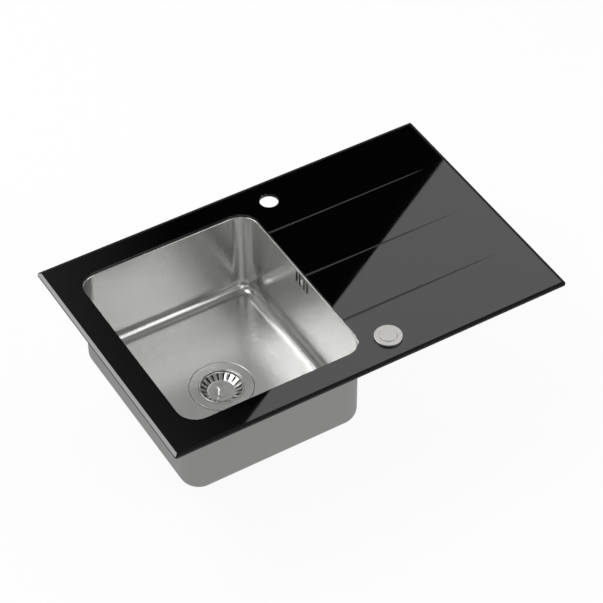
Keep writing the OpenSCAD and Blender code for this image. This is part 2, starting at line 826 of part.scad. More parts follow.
// Hollow rod: outer rings, then inner rings, joined by a flat band at each end
module pipe(points, outer, inner, side, count) {
    sides = sides_along(points, side);
    last = len(points) - 1;
    total = (last + 1) * count;
    outside = [for (i = [0 : last]) each ring(points[i], tangent(points, i), sides[i], outer[i], count)];
    inside = [for (i = [0 : last]) each ring(points[i], tangent(points, i), sides[i], inner, count)];
    walls = [for (i = [0 : last - 1]) each band(i * count, (i + 1) * count, count)];
    bore = [for (i = [0 : last - 1]) each band(total + (i + 1) * count, total + i * count, count)];
    start = band(total, 0, count);
    end = band(last * count, total + last * count, count);
    polyhedron(concat(outside, inside), concat(walls, bore, start, end));
}

module overflow_hose() {
    pitch = hose_length / hose_ribs;
    stops = [for (i = [0 : hose_ribs - 1]) each [i * pitch, (i + 0.5) * pitch]];
    points = [for (s = concat(stops, [hose_length])) hose_point(s)];
    radii = concat([for (i = [0 : hose_ribs - 1]) each [hose_rib_r, hose_valley_r]], [hose_rib_r]);
    color(grey_plastic) on_plate() pipe(points, radii, hose_bore_r, [0, 1, 0], hose_sides);
}

// Union nut that grips a spigot and the end of the hose; it points down from its top
module hose_nut() {
    low = -nut_grip - nut_skirt;
    difference() {
        disc(nut_out_r, low, nut_grip);
        disc(spigot_r + touch, -nut_play / 2, nut_grip + cut);
        disc(hose_rib_r + rest_gap, low - cut, -nut_play / 2);
        for (a = [0 : 30 : 330]) rotate([0, 0, a])
            translate([nut_out_r + 1.2, 0, low - cut])
                cylinder(r = 2, h = nut_grip - low + 2 * cut, $fn = 24);
    }
}

module hose_nut_upper() {
    color(plastic) on_plate() translate([spigot_x, over_y, spigot_bottom]) hose_nut();
}

module hose_nut_lower() {
    color(plastic) on_plate() translate([inlet_end, bowl_y, inlet_z]) rotate([0, -90, 0]) hose_nut();
}

// Remote control
module control_gasket() {
    color(rubber) at_control() tube(ring_r - 1, hole_d / 2, glass_t, ring_z);
}

module control_ring() {
    edge = 1;
    color(chrome) at_control() difference() {
        union() {
            disc(ring_r, ring_z, ring_top - edge);
            disc(ring_r - edge, ring_z, ring_top);
            translate([0, 0, ring_top - edge]) rotate_extrude()
                translate([ring_r - edge, 0]) circle(edge, $fn = 32);
        }
        disc(button_r + run_gap, ring_z - cut, ring_top + cut);
        disc(sleeve_out + touch, ring_z - cut, sleeve_top);
    }
}

module control_sleeve() {
    color(plastic) at_control() difference() {
        union() {
            disc(sleeve_out, sleeve_floor - sleeve_floor_t, sleeve_top - touch);
            disc(gland_r + 1, sleeve_floor - sleeve_floor_t - 6, sleeve_floor);
        }
        disc(sleeve_in, sleeve_floor, sleeve_top + cut);
        disc(wire_bore, sleeve_floor - 20, sleeve_floor + cut);
        disc(4 + touch, sleeve_floor - sleeve_floor_t - 6 - cut, sleeve_floor - sleeve_floor_t);
    }
}

module control_washer() {
    color(rubber) at_control() tube(control_nut_r - 1, sleeve_out + rest_gap, -washer_t, 0);
}

module control_nut() {
    low = -washer_t - control_nut_h;
    color(plastic) at_control() difference() {
        disc(control_nut_r, low, -washer_t);
        disc(sleeve_out + touch, low - cut, 0);
        for (a = [0 : 45 : 315]) rotate([0, 0, a])
            translate([control_nut_r + 2, 0, low - cut])
                cylinder(r = 5, h = control_nut_h + 2 * cut, $fn = 32);
    }
}

module control_button() {
    edge = 0.8;
    color(chrome) at_control() difference() {
        union() {
            disc(button_r - edge, button_top - cap_t, button_top);
            disc(button_r, skirt_bottom, button_top - edge);
            translate([0, 0, button_top - edge]) rotate_extrude()
                translate([button_r - edge, 0]) circle(edge, $fn = 32);
        }
        difference() {
            disc(button_r - skirt_t, skirt_bottom - cut, button_top - cap_t);
            disc(stem_r, skirt_bottom - 2 * cut, button_top);
        }
    }
    color(chrome) at_control() {
        disc(stem_r, stem_bottom, button_top - cap_t);
        disc(wire_r, stem_bottom - 14, stem_bottom + 1);
    }
}

module control_spring() {
    top = button_top - cap_t - rest_gap;
    stub = 2 * spring_wire_r;
    steps = 8 * spring_turns;
    rise = top - sleeve_floor - 2 * stub;
    coil = [for (i = [0 : steps])
        [spring_r * cos(45 * i), spring_r * sin(45 * i), sleeve_floor + stub + rise * i / steps]];
    least = min([for (i = [0 : 7], j = [6 : steps - i]) norm(coil[i + j] - coil[i])]) - 2 * spring_wire_r;
    echo(spring_gap = least);
    ends = [[spring_r, 0, sleeve_floor], [coil[steps][0], coil[steps][1], top]];
    points = concat([ends[0]], coil, [ends[1]]);
    color(steel) at_control() rod(points, [for (p = points) spring_wire_r], [0, 1, 0], 6);
}

module cable_gland_upper() {
    low = sleeve_floor - sleeve_floor_t - 6;
    color(chrome) at_control() difference() {
        union() {
            disc(4, cable_top, sleeve_floor - sleeve_floor_t - rest_gap);
            disc(gland_r, cable_top, low - 0.1);
        }
        disc(wire_bore, cable_top + 0.5, sleeve_floor + cut);
    }
}

module cable_gland_lower() {
    color(chrome) at_drain() translate([0, 0, wire_z]) rotate([90, 0, 0]) difference() {
        union() {
            translate([0, 0, port_end - 10]) cylinder(r = port_bore - touch, h = 11);
            translate([0, 0, port_end]) cylinder(r = port_r - 1, h = gland_end - port_end);
        }
        translate([0, 0, port_end - 12]) cylinder(r = wire_bore, h = gland_end - port_end + 10);
    }
}

// Smooth curve through the route's points
function blend(p, q, r, s, t) =
    0.5 * (2 * q + (r - p) * t + (2 * p - 5 * q + 4 * r - s) * t * t + (3 * q - p - 3 * r + s) * t * t * t);
function smooth(route, steps) = let (last = len(route) - 1) concat(
    [for (i = [0 : last - 1], k = [0 : steps - 1])
        blend(route[max(i - 1, 0)], route[i], route[i + 1], route[min(i + 2, last)], k / steps)],
    [route[last]]);

module control_cable() {
    points = smooth(cable_route, cable_steps);
    color(black) on_plate() rod(points, [for (p = points) cable_r], [1, 0, 0], cable_sides);
}

// Lift gear
module pull_wire() {
    back = nipple_back + nipple_l;
    color(steel) at_drain() translate([0, -pivot_offset, wire_z]) rotate([90, 0, 0]) {
        translate([0, 0, 0.5 - back])
            cylinder(r = wire_r, h = port_end - pivot_offset + back - 1, $fn = 24);
        translate([0, 0, -back]) cylinder(r = nipple_r, h = nipple_l, $fn = 32);
    }
}

module lift_rocker() {
    wire_slot = 2 * wire_r + 0.6;
    color(plastic) at_drain() translate([0, -pivot_offset, pivot_z]) rotate([-rocker_half_turn, 0, 0])
        difference() {
            rotate([90, 0, 90]) translate([0, 0, -rocker_t / 2]) linear_extrude(rocker_t) {
                circle(rocker_hub_r);
                translate([0, -rocker_arm / 2]) square([rocker_reach, rocker_arm]);
                translate([rocker_reach, 0]) circle(rocker_tip_r);
                translate([-rocker_fork / 2, 0]) square([rocker_fork, wire_arm + nipple_r]);
            }
            translate([-rocker_t, 0, 0]) rotate([0, 90, 0])
                cylinder(r = pivot_pin_r + run_gap, h = 2 * rocker_t);
            translate([-wire_slot / 2, -rocker_fork, wire_arm - 1.8])
                cube([wire_slot, 2 * rocker_fork, 6]);
        }
}

module lift_pin() {
    color(chrome) at_drain() {
        disc(lift_pin_r, pin_foot_z, disc_z - basket_under - rest_gap);
        disc(foot_r, pin_foot_z, pin_foot_z + foot_t);
    }
}

// Basket
module basket() {
    color(chrome) at_drain() {
        difference() {
            rotate_extrude() polygon([
                [0, disc_z], [disc_r, disc_z], [cone_r, wall_z], [cone_r + 0.8, wall_z + 1],
                [cone_r + 0.8, rim_z - 0.8], [cone_r + 1.6, rim_z], [basket_r - 0.5, rim_z],
                [basket_r, rim_z - 0.5], [basket_r, rim_z - 1.8], [skirt_r, rim_z - 1.8],
                [skirt_r, wall_z - 0.2], [disc_r + 0.3, disc_z - basket_under],
                [0, disc_z - basket_under]
            ]);
            for (k = [0 : slot_count - 1]) rotate([0, 0, 360 * k / slot_count])
                translate([0, 0, disc_z - 3]) linear_extrude(wall_z + 0.3 - disc_z + 3) polygon([
                    [disc_r + 0.6, -inner_slot_w / 2], [cone_r - 0.5, -cone_slot_w / 2],
                    [cone_r - 0.5, cone_slot_w / 2], [disc_r + 0.6, inner_slot_w / 2]
                ]);
        }
        tube(boss_r, boss_bore, seal_z + seal_t, disc_z - basket_under / 2);
    }
}

module basket_seal() {
    color(rubber) at_drain() tube(seal_r, boss_bore, seal_z, seal_z + seal_t);
}

module basket_knob() {
    top = floor_z + knob_over;
    edge = 0.6;
    rim_h = 2;
    taper_h = 3.2;
    stem_r = knob_r - 2.5;
    color(chrome) at_drain() rotate_extrude() polygon([
        [0, disc_z], [stem_r, disc_z], [stem_r, top - rim_h - taper_h], [knob_r, top - rim_h],
        [knob_r, top - edge], [knob_r - edge, top], [0, top]
    ]);
}

// Clips
// One clip, stored flat: its arm runs along +Y from the hinge
module hinge_axis(half) {
    translate([-half, hinge_inset, hinge_z]) rotate([0, 90, 0]) children();
}

module clip_pads() {
    color(rubber) for (i = [1 : clip_count]) at_clip(i)
        translate([-bracket_w, bracket_in, -pad_t]) cube([2 * bracket_w, bracket_out - bracket_in, pad_t]);
}

module clip_brackets() {
    low = hinge_z - 3;
    color(steel) for (i = [1 : clip_count]) at_clip(i) difference() {
        union() {
            translate([-bracket_w, bracket_in, -pad_t - bracket_t])
                cube([2 * bracket_w, bracket_out - bracket_in, bracket_t]);
            for (x = [-bracket_w, bracket_w - ear_t])
                translate([x, bracket_in, low]) cube([ear_t, ear_out - bracket_in, -pad_t - low]);
        }
        hinge_axis(bracket_w + cut) cylinder(r = clip_pin_r + touch, h = 2 * (bracket_w + cut));
    }
}

module clip_pins() {
    color(steel) for (i = [1 : clip_count]) at_clip(i) hinge_axis(bracket_w + 0.4)
        cylinder(r = clip_pin_r, h = 2 * (bracket_w + 0.4));
}

module clip_arm(i) {
    color(steel) at_clip(i) difference() {
        union() {
            for (x = [-cheek_w, cheek_w - cheek_t]) translate([x, hinge_inset, arm_low])
                cube([cheek_t, arm_l, arm_top - arm_low]);
            for (x = [-cheek_w, cheek_w - cheek_t]) translate([x, hinge_inset, hinge_z]) rotate([0, 90, 0])
                cylinder(r = 3.2, h = cheek_t);
            translate([-cheek_w, near_tab, arm_top - web_t]) cube([2 * cheek_w, arm_end - near_tab, web_t]);
            for (y = [near_tab, arm_end - tab_t]) translate([-cheek_w, y, arm_low])
                cube([2 * cheek_w, tab_t, arm_top - arm_low]);
        }
        translate([-cheek_w - cut, hinge_inset - 5, hinge_z + 3.2]) cube([2 * cheek_w + 2 * cut, 8, 5]);
        hinge_axis(cheek_w + cut) cylinder(r = clip_pin_r + run_gap, h = 2 * (cheek_w + cut));
        translate([0, near_tab - cut, hinge_z]) rotate([-90, 0, 0])
            cylinder(r = clip_screw_r + touch, h = arm_l + cut);
    }
}

module clip_screw(i) {
    color(steel) at_clip(i) translate([0, 0, hinge_z]) rotate([-90, 0, 0]) difference() {
        union() {
            translate([0, 0, near_tab - 0.5]) cylinder(r = clip_screw_r, h = arm_end - near_tab + 1);
            translate([0, 0, arm_end]) cylinder(r = clip_head_r, h = clip_head_t);
        }
        translate([-clip_head_r, -0.5, arm_end + clip_head_t - 1]) cube([2 * clip_head_r, 1, 2]);
    }
}

module clip_claw(i) {
    half = cheek_w - cheek_t - 0.4;
    block_top = arm_top - web_t - rest_gap;
    foot_low = arm_low - foot_l;
    color(steel) at_clip(i) difference() {
        union() {
            translate([-half, block_far - block_l, arm_low]) cube([2 * half, block_l, block_top - arm_low]);
            translate([-half, block_far - claw_foot_t, foot_low]) cube([2 * half, claw_foot_t, foot_l + 1]);
            translate([-half, block_far - claw_foot_t - tooth_l, foot_low])
                cube([2 * half, tooth_l + 1, 1.5]);
        }
        translate([0, block_far - block_l - cut, hinge_z]) rotate([-90, 0, 0])
            cylinder(r = clip_screw_r + run_gap, h = block_l + 2 * cut);
        for (x = [-half / 2, half / 2])
            translate([x, block_far - claw_foot_t - tooth_l - cut, foot_low - 0.5])
                rotate([-90, 0, 0]) cylinder(r = 1.2, h = tooth_l, $fn = 24);
    }
}

glass_top();
bowl();
bond_seal();
rim_seal();
strainer_flange();
flange_seal();
body_gasket();
waste_body();
waste_cone();
outlet_neck();
inlet_spigot();
cable_port();
waste_cross();
clamp_screw();
overflow_gasket();
overflow_housing();
overflow_screw();
overflow_hose();
hose_nut_upper();
hose_nut_lower();
control_gasket();
control_ring();
control_sleeve();
control_washer();
control_nut();
control_spring();
control_cable();
cable_gland_upper();
cable_gland_lower();
rocker_pin();
clip_pads();
clip_brackets();
clip_pins();
control_button();
pull_wire();
lift_rocker();
lift_pin();
basket();
basket_knob();
basket_seal();
for (i = [1 : clip_count]) {
    clip_arm(i);
    clip_screw(i);
    clip_claw(i);
}
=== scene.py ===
# Inset kitchen sink: a black glass plate with a steel bowl, strainer waste, overflow and remote control.
# Metres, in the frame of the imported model: origin on the tap hole's axis, +Y to the back, +Z up.
import json
import math

import bmesh
import bpy
from mathutils import Matrix, Vector

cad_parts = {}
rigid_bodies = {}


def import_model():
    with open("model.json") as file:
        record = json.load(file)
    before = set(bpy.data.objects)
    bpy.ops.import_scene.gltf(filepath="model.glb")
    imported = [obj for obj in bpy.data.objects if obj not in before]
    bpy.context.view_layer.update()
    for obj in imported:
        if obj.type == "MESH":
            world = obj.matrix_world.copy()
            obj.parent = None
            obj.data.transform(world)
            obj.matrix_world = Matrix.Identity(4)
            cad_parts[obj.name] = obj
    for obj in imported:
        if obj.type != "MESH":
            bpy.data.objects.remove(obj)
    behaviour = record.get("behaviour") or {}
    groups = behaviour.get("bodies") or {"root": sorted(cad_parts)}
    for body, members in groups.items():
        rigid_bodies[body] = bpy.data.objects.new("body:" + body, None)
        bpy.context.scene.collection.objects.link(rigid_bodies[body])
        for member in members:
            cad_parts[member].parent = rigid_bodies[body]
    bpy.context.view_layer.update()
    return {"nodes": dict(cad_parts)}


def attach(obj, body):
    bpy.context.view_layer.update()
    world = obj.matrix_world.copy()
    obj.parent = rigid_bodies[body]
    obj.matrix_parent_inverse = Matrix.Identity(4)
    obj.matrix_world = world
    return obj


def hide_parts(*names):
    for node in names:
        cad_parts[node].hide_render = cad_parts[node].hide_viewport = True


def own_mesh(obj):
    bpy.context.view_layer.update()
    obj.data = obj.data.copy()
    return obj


for leftover in list(bpy.data.objects):
    bpy.data.objects.remove(leftover)
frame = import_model()


# Glass top: one 6 mm plate of black toughened glass. Its rim is ground to a wide bevel and polished,
# the bowl's opening and the two holes are cut with a satin edge, and three grooves are ground in.
class Value:
    """A shader socket that takes part in sums; sums become Math nodes in its material."""

    def __init__(self, tree, socket):
        self.tree = tree
        self.socket = socket

    def node(self, kind, settings=None, sockets=None, out=0):
        made = self.tree.nodes.new("ShaderNode" + kind)
        for name, value in (settings or {}).items():
            setattr(made, name, value)
        for key, value in (sockets or {}).items():
            if isinstance(value, Value):
                self.tree.links.new(value.socket, made.inputs[key])
            else:
                made.inputs[key].default_value = value
        return Value(self.tree, made.outputs[out])

    def calc(self, operation, other=0.0):
        return self.node("Math", {"operation": operation}, {0: self, 1: other})

    def __add__(self, other):
        return self.calc("ADD", other)

    def __sub__(self, other):
        return self.calc("SUBTRACT", other)

    def __rsub__(self, other):
        return self.node("Math", {"operation": "SUBTRACT"}, {0: other, 1: self})

    def __mul__(self, other):
        return self.calc("MULTIPLY", other)

    __radd__ = __add__
    __rmul__ = __mul__

    def above(self, low, high):
        """Rises from 0 to 1 between two heights of this value."""
        return self.node("MapRange", {"clamp": True}, {0: self, 1: low, 2: high})

    def tint(self, low, high):
        """A colour between two colours, by this value."""
        return self.node("Mix", {"data_type": "RGBA"}, {0: self, 6: (*low, 1.0), 7: (*high, 1.0)}, 2)


class Finish:
    """One material: its shader's fixed numbers, and the coordinates that its patterns read."""

    def __init__(self, name, **numbers):
        self.material = bpy.data.materials.new(name)
        self.material.use_nodes = True
        tree = self.material.node_tree
        self.tree = tree
        self.shader = tree.nodes["Principled BSDF"]
        for key, value in numbers.items():
            self.shader.inputs[key.replace("_", " ")].default_value = value
        place = Value(tree, None)
        self.place = place.node("TexCoord", out=3)
        self.normal = place.node("NewGeometry", out=1)
        self.parts = [self.axis(self.place, i) for i in range(3)]

    def axis(self, vector, i):
        return self.place.node("SeparateXYZ", sockets={0: vector}, out=i)

    def feed(self, key, value):
        self.tree.links.new(value.socket, self.shader.inputs[key])

    def noise(self, scale, detail=2.0, stretch=(1.0, 1.0, 1.0), roughness=0.5):
        at = self.place.node("Mapping", {"vector_type": "POINT"}, {0: self.place, 3: stretch})
        return self.place.node("TexNoise", sockets={0: at, 2: scale, 3: detail, 4: roughness})

    def bumps(self, height, depth, strength=1.0):
        made = self.place.node("Bump", sockets={0: strength, 1: depth, "Height": height})
        self.feed("Normal", made)

    def turning(self, centre_x, centre_y, scale, detail):
        """Fine rings round an upright axis, as a lathe or a polishing wheel leaves them."""
        from_x = self.parts[0] - centre_x
        from_y = self.parts[1] - centre_y
        reach = (from_x * from_x + from_y * from_y).calc("POWER", 0.5)
        return self.place.node("TexNoise", {"noise_dimensions": "1D"}, {1: reach, 2: scale, 3: detail})

    def on(self, *nodes):
        for node in nodes:
            for holder in frame["nodes"][node].material_slots:
                holder.material = self.material


glass = Finish("black_glass_polished", IOR=1.52)
cut_face = 1 - glass.axis(glass.normal, 2).calc("ABSOLUTE").above(0.1, 0.5)
film = glass.noise(9.0, 3.0).above(0.35, 0.75)
glass.feed("Base Color", cut_face.tint((0.0010, 0.0010, 0.0011), (0.010, 0.010, 0.011)))
glass.feed("Roughness", 0.018 + 0.012 * film + 0.22 * cut_face)
glass.bumps(glass.noise(3.5, 1.0), 0.00002, 0.35)
top = bmesh.new()
top.from_mesh(frame["nodes"]["glass_top"].data)
bmesh.ops.remove_doubles(top, verts=top.verts, dist=0.000002)
bmesh.ops.dissolve_limit(top, angle_limit=math.radians(0.5), verts=top.verts, edges=top.edges)
arrises = []
for edge in top.edges:
    slopes = sorted(abs(face.normal.z) for face in edge.link_faces)
    if len(slopes) == 2 and slopes[0] < 0.05 and slopes[1] > 0.93:
        arrises.append(edge)
bmesh.ops.bevel(top, geom=arrises, offset=0.0003, segments=2, profile=0.5, affect="EDGES", material=-1,
                clamp_overlap=True)


def piece(name, made, finish, body, slot, *nodes):
    """Turns a bmesh into a finished object that rides on its body and stands for its nodes."""
    mesh = bpy.data.meshes.new(name)
    made.to_mesh(mesh)
    made.free()
    mesh.shade_smooth()
    mesh.set_sharp_from_angle(angle=math.radians(32.0))
    mesh.materials.append(finish.material)
    holder = bpy.data.objects.new(name, mesh)
    bpy.context.scene.collection.objects.link(holder)
    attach(holder, body)
    level = holder.modifiers.new("level_normals", "WEIGHTED_NORMAL")
    level.keep_sharp = True
    level.weight = 100
    if nodes:
        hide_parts(*nodes)
    return holder


plate = piece("glass_plate", top, glass, "sink", "black_glass", "glass_top")
ground = bmesh.new()
ground.from_mesh(plate.data)
for face in ground.faces:
    if face.calc_area() > 0.0005:
        for edge in face.edges:
            edge.smooth = False
ground.to_mesh(plate.data)
ground.free()


# Bowl: 1 mm stainless sheet, deep drawn with soft corners and brushed to a satin. Its flange is bonded
# under the glass, the drain's recess is pressed in and the overflow slots are punched in the right wall.
satin = Finish("bowl_satin", Metallic=1.0)
side_wall = satin.axis(satin.normal, 0).calc("ABSOLUTE").above(0.5, 0.8)
along_x = satin.noise(1.0, 3.0, (25.0, 1800.0, 1800.0), 0.6)
along_y = satin.noise(1.0, 3.0, (1800.0, 25.0, 1800.0), 0.6)
brushing = side_wall * along_y + (1 - side_wall) * along_x
cloud = satin.noise(7.0, 2.0)
# Painted shade: the cut sides of the overflow slots are darkened almost to black in the base colour, for the
# shadow inside the slots.
painted_slot_shade = (satin.parts[0].above(-0.0449, -0.0447) * satin.parts[1].above(-0.212, -0.211)
            * (1 - satin.parts[1].above(-0.167, -0.166)) * satin.parts[2].above(-0.036, -0.035)
            * (1 - satin.parts[2].above(-0.0045, -0.004)) * (1 - side_wall))
tone = (0.582 + 0.04 * (brushing * 0.5 + cloud * 0.5)) * (1 - 0.96 * painted_slot_shade)
satin.feed("Base Color", tone.tint((0.0, 0.0, 0.0), (1.0, 1.005, 0.985)))
level_part = satin.axis(satin.normal, 2).above(0.9, 0.98)
satin.feed("Roughness", 0.2115 + 0.012 * brushing + 0.03 * cloud + 0.3 * painted_slot_shade + 0.035 * level_part)
satin.bumps(brushing, 0.000002, 0.1)
drain_x, drain_y = -0.2185, -0.200
half_x, half_y = 0.1375, 0.1635
corner_r, floor_z, flange_z = 0.036, -0.180, -0.001
flange_reach, lip_reach, lip_r = 0.049, 0.038, 0.002
wall_middle_z, fold_z, fold_reach = -0.080, -0.156, 0.012
recess_r, recess_foot_r, recess_lip, drain_hole_r = 0.0597, 0.0577, 0.0012, 0.0445
weld = 0.00001


def step_out(mesh, edge_end, x, z):
    """Draws the section on from its last vertex to a new point."""
    made = bmesh.ops.extrude_vert_indiv(mesh, verts=[edge_end])["verts"][0]
    made.co.x, made.co.z = x, z
    return made


def round_to(mesh, edge_end, centre, turn, steps):
    """Carries the section on along an arc in its own plane."""
    made = bmesh.ops.spin(mesh, geom=[edge_end], cent=centre, axis=(0, 1, 0), angle=math.radians(turn),
                          steps=steps, use_duplicate=False)["geom_last"]
    return [part for part in made if isinstance(part, bmesh.types.BMVert)][0]


bowl = bmesh.new()
corner = Vector((drain_x + half_x, drain_y + half_y, 0.0))
end = bowl.verts.new((corner.x + flange_reach, corner.y, flange_z))
end = step_out(bowl, end, corner.x + lip_reach, flange_z)
end = round_to(bowl, end, (corner.x + lip_reach, corner.y, flange_z - lip_r), -90.0, 6)
end = step_out(bowl, end, corner.x + corner_r, wall_middle_z)
end = step_out(bowl, end, corner.x + corner_r, fold_z)
end = round_to(bowl, end, (corner.x + fold_reach, corner.y, fold_z), 90.0, 16)
section = list(bowl.edges)
spans = [(-2 * half_x, 0.0), (0.0, -2 * half_y), (2 * half_x, 0.0), (0.0, 2 * half_y)]
for span in spans:
    made = bmesh.ops.spin(bowl, geom=section, cent=corner, axis=(0, 0, 1),
                          angle=math.radians(90.0), steps=20)
    section = [part for part in made["geom_last"] if isinstance(part, bmesh.types.BMEdge)]
    made = bmesh.ops.extrude_edge_only(bowl, edges=section)["geom"]
    section = [part for part in made if isinstance(part, bmesh.types.BMEdge)]
    moved = [part for part in made if isinstance(part, bmesh.types.BMVert)]
    bmesh.ops.translate(bowl, verts=moved, vec=(span[0], span[1], 0.0))
    corner += Vector((span[0], span[1], 0.0))
bmesh.ops.remove_doubles(bowl, verts=bowl.verts, dist=weld)
floor_edge = [edge for edge in bowl.edges if edge.is_boundary and edge.verts[0].co.z < -0.179]

recess = bowl.verts.new((drain_x + recess_r, drain_y, floor_z))
before = set(bowl.edges)
end = round_to(bowl, recess, (drain_x + recess_r, drain_y, floor_z - recess_lip), -90.0, 5)
end = round_to(bowl, end, (drain_x + recess_foot_r, drain_y, floor_z - recess_lip), 90.0, 4)
step_out(bowl, end, drain_x + drain_hole_r, floor_z - 0.002)
pressed = [edge for edge in bowl.edges if edge not in before]
bmesh.ops.spin(bowl, geom=pressed, cent=(drain_x, drain_y, 0.0), axis=(0, 0, 1), angle=math.radians(360.0),
               steps=128, use_merge=True)
bmesh.ops.remove_doubles(bowl, verts=bowl.verts, dist=weld)
recess_edge = [edge for edge in bowl.edges if edge.is_boundary
               and abs((edge.verts[0].co.xy - Vector((drain_x, drain_y))).length - recess_r) < 0.0001]
bmesh.ops.bridge_loops(bowl, edges=floor_edge + recess_edge)
bmesh.ops.recalc_face_normals(bowl, faces=bowl.faces)
floor_face = max(bowl.faces, key=lambda face: -face.calc_center_median().z + (face.calc_area() > 0.0001))
if floor_face.normal.z < 0:
    bmesh.ops.reverse_faces(bowl, faces=bowl.faces)
bmesh.ops.solidify(bowl, geom=list(bowl.faces), thickness=0.001)

punch = bmesh.new()
wall_x, over_y, slot_z = -0.045, -0.189, -0.0192
slot_r, slot_rise, screw_hole_r = 0.0025, 0.0105, 0.0026
for across, radius, rise in ((-0.0175, slot_r, slot_rise), (-0.0071, slot_r, slot_rise),
                             (0.0, screw_hole_r, 0.0),
                             (0.0071, slot_r, slot_rise), (0.0175, slot_r, slot_rise)):
    facing = Matrix.Translation((wall_x - 0.003, over_y + across, slot_z))
    facing = facing @ Matrix.Rotation(math.pi / 2, 4, "Y")
    rim = bmesh.ops.create_circle(punch, cap_ends=True, segments=40, radius=radius,
                                  matrix=facing @ Matrix.Rotation(math.radians(4.5), 4, "Z"))["verts"]
    bmesh.ops.translate(punch, verts=[v for v in rim if v.co.z > slot_z], vec=(0.0, 0.0, rise))
    bmesh.ops.translate(punch, verts=[v for v in rim if v.co.z < slot_z], vec=(0.0, 0.0, -rise))
    ends = list({face for v in rim for face in v.link_faces})
    deep = bmesh.ops.extrude_face_region(punch, geom=ends)["geom"]
    deep = [part for part in deep if isinstance(part, bmesh.types.BMVert)]
    bmesh.ops.translate(punch, verts=deep, vec=(0.006, 0.0, 0.0))
bmesh.ops.recalc_face_normals(punch, faces=punch.faces)


def cut_away(made, cutter):
    """Cuts one bmesh out of another and gives back the first."""
    blank = bpy.data.objects.new("blank", bpy.data.meshes.new("blank"))
    tool = bpy.data.objects.new("tool", bpy.data.meshes.new("tool"))
    made.to_mesh(blank.data)
    cutter.to_mesh(tool.data)
    for holder in (blank, tool):
        bpy.context.scene.collection.objects.link(holder)
    cut = blank.modifiers.new("cut", "BOOLEAN")
    cut.operation = "DIFFERENCE"
    cut.solver = "EXACT"
    cut.object = tool
    left = bpy.data.meshes.new_from_object(blank.evaluated_get(bpy.context.evaluated_depsgraph_get()))
    made.clear()
    made.from_mesh(left)
    cutter.free()
    for holder in (blank, tool):
        bpy.data.objects.remove(holder)
    return made


bowl = cut_away(bowl, punch)
bmesh.ops.remove_doubles(bowl, verts=bowl.verts, dist=0.000002)
lips = []
for edge in bowl.edges:
    across = sorted(abs(face.normal.x) for face in edge.link_faces)
    at_slot = abs(edge.verts[0].co.x - wall_x - 0.0005) < 0.0007 and abs(edge.verts[0].co.y - over_y) < 0.022
    if at_slot and len(across) == 2 and across[0] < 0.3 and across[1] > 0.95 and edge.verts[0].co.z > -0.034:
        lips.append(edge)
bmesh.ops.bevel(bowl, geom=lips, offset=0.00025, segments=2, profile=0.5, affect="EDGES", material=-1)
piece("bowl_pressed", bowl, satin, "sink", "bowl_steel", "bowl")


# Seals of the plate: a line of black silicone bonds the flange to the glass,
# and a strip of closed-cell foam lies along the plate's rim and beds on the worktop.
silicone = Finish("cured_silicone", Roughness=0.42)
skin = silicone.noise(60.0, 3.0)
silicone.feed("Base Color", skin.tint((0.018, 0.018, 0.018), (0.035, 0.035, 0.034)))
silicone.bumps(skin, 0.00025, 0.5)
silicone.on("bond_seal")

foam = Finish("closed_cell_foam", Roughness=0.92)
cells = foam.place.node("TexVoronoi", {"feature": "F1"}, {0: foam.place, 2: 900.0})
foam.feed("Base Color", (cells * 1.2).tint((0.020, 0.020, 0.021), (0.060, 0.060, 0.062)))
foam.bumps(cells, 0.0004, 0.8)
foam.on("rim_seal", "clip_pads")


# Strainer flange: pressed from stainless sheet, with fine turning marks round the drain's axis. It sits in
# the bowl's recess, its cup holds the basket, and a polished hollow screw through its hub clamps the waste
# body below. The lift pin and the rocker's pin are polished like that screw.
polished = Finish("drain_polished", Metallic=1.0)
turned = polished.turning(drain_x, drain_y, 2600.0, 2.0)
smears = polished.noise(28.0, 3.0)
polished.feed("Base Color", smears.tint((0.62, 0.62, 0.605), (0.70, 0.70, 0.685)))
polished.feed("Roughness", 0.19 + 0.05 * turned + 0.05 * smears)
polished.bumps(turned, 0.000008, 0.5)
polished.on("clamp_screw", "lift_pin", "rocker_pin")
flange_steel = Finish("flange_satin", Metallic=1.0)
lathe = flange_steel.turning(drain_x, drain_y, 2600.0, 2.0)
haze = flange_steel.noise(28.0, 3.0)
# Painted shade: below the basket's seat the flange's base colour falls to 7 percent, for the shadow down in
# the drain's well.
above_painted_well_shade = flange_steel.parts[2].above(-0.1860, -0.1835)
well_painted_shade_tone = (0.60 + 0.08 * haze) * (0.07 + 0.93 * above_painted_well_shade)
flange_steel.feed("Base Color", well_painted_shade_tone.tint((0.0, 0.0, 0.0), (1.0, 1.0, 0.98)))
flange_steel.feed("Roughness", 0.20 + 0.06 * lathe + 0.05 * haze + 0.2 * (1 - above_painted_well_shade))
flange_steel.bumps(lathe, 0.000008, 0.5)


def section_line(made, points):
    """A bent line in the X-Z plane: each point has a place and how far its corner is rounded off."""
    verts = [made.verts.new((x, 0.0, z)) for x, z, soft in points]
    for first, second in zip(verts, verts[1:]):
        made.edges.new((first, second))
    for vert, (x, z, soft) in zip(verts, points):
        if soft:
            bmesh.ops.bevel(made, geom=[vert], offset=soft, segments=4, profile=0.5, affect="VERTICES",
                            material=-1)
    return made


def turned_piece(points, centre, steps=96):
    """A solid of revolution round an upright axis, its normals outwards."""
    made = section_line(bmesh.new(), points)
    bmesh.ops.spin(made, geom=list(made.edges), cent=(0.0, 0.0, 0.0), axis=(0, 0, 1),
                   angle=math.radians(360.0), steps=steps, use_merge=True)
    bmesh.ops.remove_doubles(made, verts=made.verts, dist=0.000005)
    bmesh.ops.translate(made, verts=made.verts, vec=centre)
    bmesh.ops.recalc_face_normals(made, faces=made.faces)
    return made


def joined(made, other):
    """Adds one bmesh to another and gives back the first."""
    carrier = bpy.data.meshes.new("carrier")
    other.to_mesh(carrier)
    other.free()
    made.from_mesh(carrier)
    bpy.data.meshes.remove(carrier)
    return made


